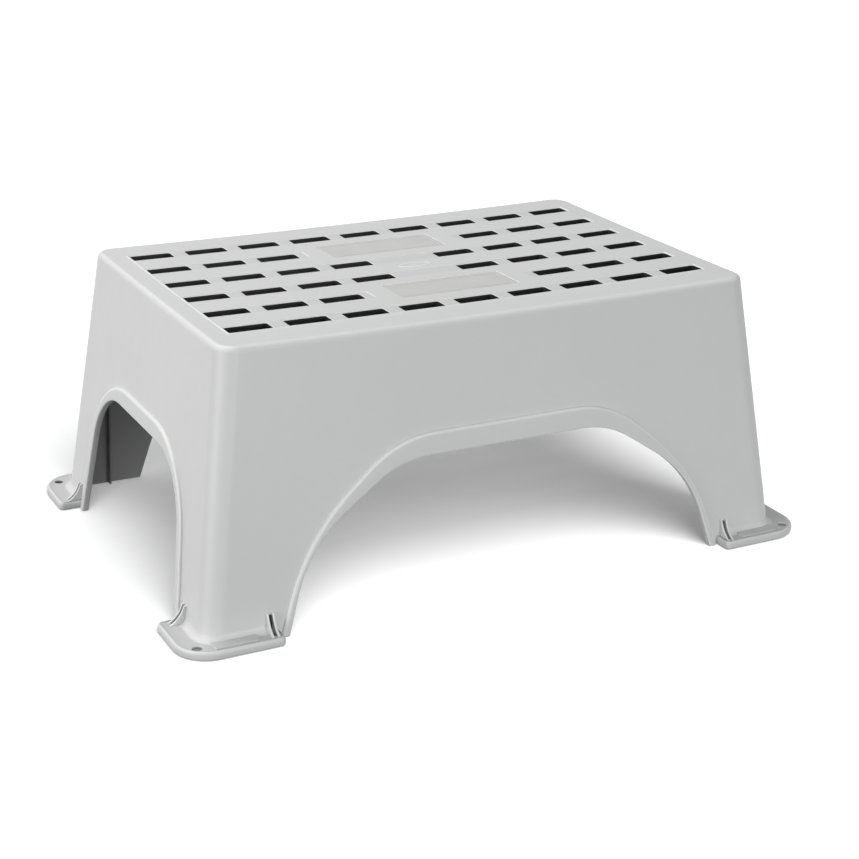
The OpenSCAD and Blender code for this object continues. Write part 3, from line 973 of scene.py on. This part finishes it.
class Tree:
    """A Geometry Nodes tree under construction, with named inputs."""

    def __init__(self, name, sizes):
        self.tree = bpy.data.node_groups.new(name, "GeometryNodeTree")
        face = self.tree.interface
        face.new_socket("Geometry", in_out="INPUT", socket_type="NodeSocketGeometry")
        self.sockets = {}
        for label, (kind, value) in sizes.items():
            socket = face.new_socket(label, in_out="INPUT", socket_type=kind)
            self.sockets[label] = (socket.identifier, value)
        face.new_socket("Geometry", in_out="OUTPUT", socket_type="NodeSocketGeometry")
        self.given = self.tree.nodes.new("NodeGroupInput").outputs
        self.result = self.tree.nodes.new("NodeGroupOutput")

    def node(self, kind, inputs=None, output=0, **settings):
        """Adds a node and returns one of its outputs."""
        return add_node(self.tree, kind, inputs, settings).outputs[output]

    def at_points(self, points, instance, **more):
        return self.node("GeometryNodeInstanceOnPoints", {"Points": points, "Instance": instance, **more})

    def line(self, count, start, step):
        inputs = {"Count": count, "Start Location": start, "Offset": step}
        return self.node("GeometryNodeMeshLine", inputs, mode="OFFSET")

    def run(self, obj, instances, material):
        """Ends the tree, runs it on obj and leaves obj a plain mesh."""
        real = self.node("GeometryNodeRealizeInstances", {"Geometry": instances})
        done = self.node("GeometryNodeSetMaterial", {"Geometry": real, "Material": material})
        self.tree.links.new(done, self.result.inputs[0])
        modifier = obj.modifiers.new("repeat", "NODES")
        modifier.node_group = self.tree
        for identifier, value in self.sockets.values():
            modifier[identifier] = value
        settle(obj)


def repeated(obj, name, count, pitch, material):
    """Repeats obj's mesh count times, pitch (a vector, in metres) apart and centred on its own place."""
    tree = Tree(name, {"Count": ("NodeSocketInt", count), "Pitch": ("NodeSocketVector", pitch)})
    step = tree.given["Pitch"]
    back = tree.node("ShaderNodeVectorMath", {0: step, "Scale": -(count - 1) / 2}, operation="SCALE")
    stamp = tree.at_points(tree.line(tree.given["Count"], back, step), tree.given["Geometry"])
    tree.run(obj, stamp, material)


def rib_bar(form, along_x, half_length):
    """One rib under the deck, narrower to its lower edge, cut in short lengths so that it can dip."""
    depth, root, tip = RIB_DEPTH, RIB_ROOT, RIB_TIP
    section = [(root, 0.6), (tip, 0.5 - depth), (tip * 0.5, -depth)]
    section += [(-s, z) for s, z in reversed(section)]
    steps = 24
    rings = []
    for n in range(steps + 1):
        along = half_length * (2 * n / steps - 1)
        ring = [(along, s, form.under_z + z) if along_x else (s, along, form.under_z + z) for s, z in section]
        # Painted shade darkens the ribs under the deck.
        rings.append((ring, {"grime": RIB_SHADE}))
    skin = Skin()
    skin.tube(rings)
    return skin


def dipped(form, obj):
    for v in obj.data.vertices:
        v.co = Vector(form.dip(tuple(v.co / MM))) * MM


def build_leg_ribs(form):
    """An upright rib inside each leg, on the front and back walls."""
    skin = Skin()
    x, half = form.wall_x - LEG_RIB_IN, 1.1
    levels = [FOOT_Z + 0.4, 40, 80, 120, 160, 200, form.under_z + 0.5]
    rings = []
    for z in levels:
        _, y = form.half(z, form.w.wall_t)
        section = ((-1, 0.8), (1, 0.8), (0.75, -5.6), (0.4, -6), (-0.4, -6), (-0.75, -5.6))
        # Painted shade darkens the leg ribs, more than the inner faces.
        rings.append(([(x + half * across, y + out, z) for across, out in section], {"grime": INSIDE_SHADE * 1.3}))
    skin.tube(rings)
    whole = skin.mirrored()
    whole.bend(form.dip)
    return whole


def build_fillets(form):
    """The hollow curve between a foot's wall and its flange, from one pair of webs round to the other."""
    t = form.t
    web_x, web_y = web_places(form)
    side = t.web_gap / 2 + t.web_t * 0.6
    z = t.flange_h - WEB_FOOT
    cx, cy = form.corner(z)
    r = form.w.corner_r
    line = [(cx + r, web_y + side + (cy - web_y - side) * n / 4, 0.0) for n in range(4)]
    line += [(x, y, 9.0 * n) for n, (x, y) in enumerate(arc(cx, cy, r, r, 0, 90, 10))]
    line += [(cx + (web_x + side - cx) * n / 4, cy + r, 90.0) for n in range(1, 5)]
    section = [(-1.2, -0.5), (t.fillet_r, -0.5)]
    for n in range(9):
        a = math.pi / 2 * n / 8
        section.append((t.fillet_r * (1 - math.sin(a)) + 0.02, t.fillet_r * (1 - math.cos(a)) + 0.02))
    section.append((-1.2, t.fillet_r))
    skin = Skin()
    rows = []
    for x, y, facing in line:
        a = math.radians(facing)
        way = Vector((math.cos(a), math.sin(a)))
        lean = form.slope_x * way.x ** 2 + form.slope_y * way.y ** 2
        reach = [(out - lean * up, z + up) for out, up in section]
        rows.append([(x + way.x * far, y + way.y * far, height) for far, height in reach])
    skin.tube(rows)
    return skin.mirrored()


def web_blade(form):
    """One thin web, along +X from the wall at the origin, hollow along its sloping edge."""
    t = form.t
    reach, rise, half = t.web_l, t.web_h + WEB_FOOT, t.web_t / 2
    curve = []
    for n in range(11):
        a, straight = math.pi / 2 * n / 10, n / 10
        curve.append((reach * (2 - math.sin(a) - straight) / 2, rise * (1 - math.cos(a) + straight) / 2))
    outline = [(-2.6, -1.2), (reach, -1.2)] + curve + [(-2.6, rise)]
    skin = Skin()

    def pulled(inset):
        cx, cz = 2.0, 4.0
        out = []
        for x, z in outline:
            on_edge = z > -1 and x > -2.5
            way = Vector((cx - x, cz - z)).normalized() * (inset if on_edge else 0)
            out.append((x + way.x, z + way.y))
        return out

    rings = []
    # Painted highlight along the web's rounded edge.
    for side, inset, wear in ((-1, 0.35, 0), (-0.6, 0.08, 1), (0, 0.0, 1), (0.6, 0.08, 1), (1, 0.35, 0)):
        rings.append(([(x, half * side, z) for x, z in pulled(inset)], {"wear": wear}))
    skin.rings(rings)
    for y in (-half, half):
        skin.fill(pulled(0.35), [], lambda u, v, y=y: (u, y, v))
    return skin


def build_webs(form, finish):
    """Every pair of webs, set out by a tree from their places and turns."""
    t = form.t
    web_x, web_y = web_places(form)
    z = t.flange_h - WEB_FOOT
    places = []
    for sx in (1, -1):
        for sy in (1, -1):
            places.append(((sx * web_x, sy * form.half(z)[1], z), math.radians(90 * sy)))
            places.append(((sx * form.half(z)[0], sy * web_y, z), 0.0 if sx > 0 else math.pi))
    mesh = bpy.data.meshes.new("foot_webs")
    mesh.from_pydata([Vector(p) * MM for p, turn in places], [], [])
    turns = mesh.attributes.new("turn", "FLOAT", "POINT")
    turns.data.foreach_set("value", [turn for p, turn in places])
    obj = bpy.data.objects.new("foot_webs", mesh)
    bpy.context.scene.collection.objects.link(obj)
    blade = web_blade(form).piece("web_blade", finish, 55)
    tree = Tree("pairs_of_webs", {"Spacing": ("NodeSocketFloat", (t.web_gap + t.web_t) * MM)})
    gap = tree.given["Spacing"]
    one = tree.node("GeometryNodeObjectInfo", {"Object": blade}, "Geometry", transform_space="ORIGINAL")
    back = tree.node("ShaderNodeMath", {0: gap, 1: -0.5}, operation="MULTIPLY")
    start, step = (tree.node("ShaderNodeCombineXYZ", {"Y": y}) for y in (back, gap))
    pair = tree.at_points(tree.line(2, start, step), one)
    whole = tree.node("GeometryNodeRealizeInstances", {"Geometry": pair})
    turn = tree.node("GeometryNodeInputNamedAttribute", {"Name": "turn"}, data_type="FLOAT")
    spin = tree.node("ShaderNodeCombineXYZ", {"Z": turn})
    put = tree.at_points(tree.given["Geometry"], whole, Rotation=spin)
    tree.run(obj, put, finish)
    bpy.data.objects.remove(blade)
    return obj


# ---- operators ----

FLOOR_REACH, FLOOR_TILES = 6000, 12
WORLD_ABOVE, WORLD_BELOW = 0.4, 0.1
WORLD_COLOUR = (0.97, 0.985, 1.0, 1.0)
# Lamps that light only the stool: place in metres, side in metres, watts and colour.
LAMPS = (
    ("overhead_softbox", (-0.7, 0.9, 2.2), 2.2, 48.0, (1.0, 0.995, 0.985)),
    ("left_softbox", (-2.6, -0.5, 0.55), 1.1, 30.0, (1.0, 0.998, 0.99)),
    ("front_softbox", (0.2, -2.6, 0.55), 1.1, 30.0, (0.992, 0.996, 1.0)),
)
LAMP_AIM = Vector((0, 0, 0.12))
SUN_POWER, SUN_SPREAD, SUN_WAY = 3.6, 50, Vector((0.05, 1.0, -1.0))
CAMERA_ANGLES = (-27.19, 20.71, 0.75)  # azimuth, elevation and roll, in degrees
CAMERA_AIM, CAMERA_AWAY, CAMERA_LENS = Vector((-0.0293, -0.0877, 0.1098)), 1.4832, 76.76


def lay_floor(scene):
    """A pale floor in square tiles. It lights nothing, so the stool keeps its shade."""
    tile = 2 * FLOOR_REACH / FLOOR_TILES
    cuts = [tile * n - FLOOR_REACH for n in range(FLOOR_TILES)]
    floor = Skin()
    for x in cuts:
        for y in cuts:
            corners = ((x, y, 0), (x + tile, y, 0), (x + tile, y + tile, 0), (x, y + tile, 0))
            floor.face([floor.point(corner) for corner in corners])
    mesh = bpy.data.meshes.new("floor")
    mesh.from_pydata([Vector(p) * MM for p in floor.points], [], floor.faces)
    mesh.materials.append(pale_floor())
    ground = bpy.data.objects.new("floor", mesh)
    scene.collection.objects.link(ground)
    ground.visible_diffuse = False
    return ground


def light_world(scene):
    """A world that is bright above the horizon and dim below it."""
    world = bpy.data.worlds.new("studio")
    world.use_nodes = True
    tree = world.node_tree
    where = add_node(tree, "ShaderNodeTexCoord", {}, {})
    height = add_node(tree, "ShaderNodeSeparateXYZ", {0: where.outputs["Generated"]}, {})
    span = {"From Min": -0.1, "From Max": 0.25, "To Min": WORLD_BELOW, "To Max": WORLD_ABOVE}
    dome = add_node(tree, "ShaderNodeMapRange", {"Value": height.outputs["Z"], **span}, {})
    background = tree.nodes["Background"].inputs
    tree.links.new(dome.outputs[0], background["Strength"])
    background["Color"].default_value = WORLD_COLOUR
    scene.world = world


def hang(scene, name, lamp, way, lit):
    """Hangs a lamp that shines one way and lights only what is in one collection."""
    holder = bpy.data.objects.new(name, lamp)
    scene.collection.objects.link(holder)
    holder.light_linking.receiver_collection = lit
    holder.rotation_euler = way.to_track_quat("-Z", "Y").to_euler()
    return holder


def place_camera(scene):
    azimuth, elevation, roll = (math.radians(angle) for angle in CAMERA_ANGLES)
    lens = bpy.data.cameras.new("view")
    lens.lens, lens.sensor_width = CAMERA_LENS, 36.0
    camera = bpy.data.objects.new("view", lens)
    scene.collection.objects.link(camera)
    level = math.cos(elevation)
    away = Vector((math.sin(azimuth) * level, -math.cos(azimuth) * level, math.sin(elevation)))
    camera.location = CAMERA_AIM + away * CAMERA_AWAY
    turned = (-away).to_track_quat("-Z", "Y").to_matrix() @ Euler((0, 0, roll)).to_matrix()
    camera.rotation_euler = turned.to_euler()
    scene.camera = camera


def made_once(make):
    """The material that a function of its own name gives, made at its first use."""
    return bpy.data.materials.get(make.__name__) or make()


def add_piece(skin, name, make, slot, *nodes):
    """Makes a skin into a piece of the stool, finished with the material that make gives."""
    ride(skin.piece(name, made_once(make), 50), slot, *nodes)


def ride(obj, slot, *nodes):
    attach(obj, "root")
    if nodes:
        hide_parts(*nodes)


class Moulding:
    """What the operators that make pieces share."""

    def execute(self, context):
        self.build(Form(context.scene))
        return {"FINISHED"}


class STOOL_OT_shell(Moulding, bpy.types.Operator):
    """Mould the deck, walls and arches"""

    bl_idname = "stool.shell"
    bl_label = "Shell"

    def build(self, form):
        add_piece(build_shell(form), "stool_shell", moulded_plastic, "shell", "step_shell")


class STOOL_OT_feet(Moulding, bpy.types.Operator):
    """Mould the foot flanges and the webs that stiffen them"""

    bl_idname = "stool.feet"
    bl_label = "Feet"

    def build(self, form):
        add_piece(build_flanges(form), "foot_flanges", moulded_plastic, "shell")
        add_piece(build_fillets(form), "foot_fillets", moulded_plastic, "shell")
        ride(build_webs(form, made_once(moulded_plastic)), "shell")


class STOOL_OT_ribs(Moulding, bpy.types.Operator):
    """Mould the ribs under the deck and inside the legs"""

    bl_idname = "stool.ribs"
    bl_label = "Ribs"

    def build(self, form):
        d, plastic = form.d, made_once(moulded_plastic)
        reach_x, reach_y = form.half(form.under_z - RIB_DEPTH, form.w.wall_t - 0.6)
        for name, along_x, half, count, pitch in (
            ("deck_ribs_long", True, reach_x, d.rows + 1, (0, d.pitch_y * MM, 0)),
            ("deck_ribs_cross", False, reach_y, d.columns + 1, (d.pitch_x * MM, 0, 0)),
        ):
            rib = rib_bar(form, along_x, half).piece(name, plastic, 50)
            repeated(rib, name, count, pitch, plastic)
            dipped(form, rib)
            ride(rib, "shell")
        add_piece(build_leg_ribs(form), "leg_ribs", moulded_plastic, "shell")


class STOOL_OT_labels(Moulding, bpy.types.Operator):
    """Lay the two label plates in their recesses"""

    bl_idname = "stool.labels"
    bl_label = "Labels"

    def build(self, form):
        for name, side in (("rear", 1), ("front", -1)):
            add_piece(build_plate(form, side), name + "_label_plate", stippled_label, "label", name + "_label")


class STOOL_OT_pads(Moulding, bpy.types.Operator):
    """Press the rubber pads under the flanges"""

    bl_idname = "stool.pads"
    bl_label = "Pads"

    def build(self, form):
        for node in PAD_NODES:
            add_piece(build_pad(node), "rubber_" + node, foot_rubber, "pad", node)


class STOOL_OT_stage(bpy.types.Operator):
    """Lay the floor, hang the lights and place the camera"""

    bl_idname = "stool.stage"
    bl_label = "Stage"

    def execute(self, context):
        scene = context.scene
        ground = lay_floor(scene)
        light_world(scene)
        lit = {"stool": bpy.data.collections.new("lit_stool"), "floor": bpy.data.collections.new("lit_floor")}
        for obj in scene.objects:
            if obj.type == "MESH":
                lit["floor" if obj == ground else "stool"].objects.link(obj)
        for name, place, size_m, watts, colour in LAMPS:
            lamp = bpy.data.lights.new(name, "AREA")
            lamp.shape, lamp.size, lamp.energy, lamp.color = "SQUARE", size_m, watts, colour
            holder = hang(scene, name, lamp, LAMP_AIM - Vector(place), lit["stool"])
            holder.location = place
        sun = bpy.data.lights.new("floor_light", "SUN")
        sun.energy, sun.angle = SUN_POWER, math.radians(SUN_SPREAD)
        hang(scene, "floor_light", sun, SUN_WAY, lit["floor"])
        place_camera(scene)
        scene.view_settings.view_transform = "Standard"
        return {"FINISHED"}


class STOOL_PT_panel(bpy.types.Panel):
    bl_label = "Step stool"
    bl_space_type = "VIEW_3D"
    bl_region_type = "UI"
    bl_category = "Step stool"

    def draw(self, context):
        for group, kind in GROUPS.items():
            box = self.layout.box()
            values = getattr(context.scene, group)
            for name in kind.__annotations__:
                box.prop(values, name)
        for operator in OPERATORS:
            self.layout.operator(operator.bl_idname)


OPERATORS = (STOOL_OT_shell, STOOL_OT_feet, STOOL_OT_ribs, STOOL_OT_labels, STOOL_OT_pads, STOOL_OT_stage)


def register():
    for kind in (*GROUPS.values(), *OPERATORS, STOOL_PT_panel):
        bpy.utils.register_class(kind)
    for name, kind in GROUPS.items():
        setattr(bpy.types.Scene, name, PointerProperty(type=kind))


def unregister():
    for name in GROUPS:
        delattr(bpy.types.Scene, name)
    for kind in (STOOL_PT_panel, *reversed(OPERATORS), *reversed(GROUPS.values())):
        bpy.utils.unregister_class(kind)


def main():
    register()
    bpy.ops.stool.shell()
    bpy.ops.stool.feet()
    bpy.ops.stool.ribs()
    bpy.ops.stool.labels()
    bpy.ops.stool.pads()
    bpy.ops.stool.stage()


if __name__ == "__main__":
    main()
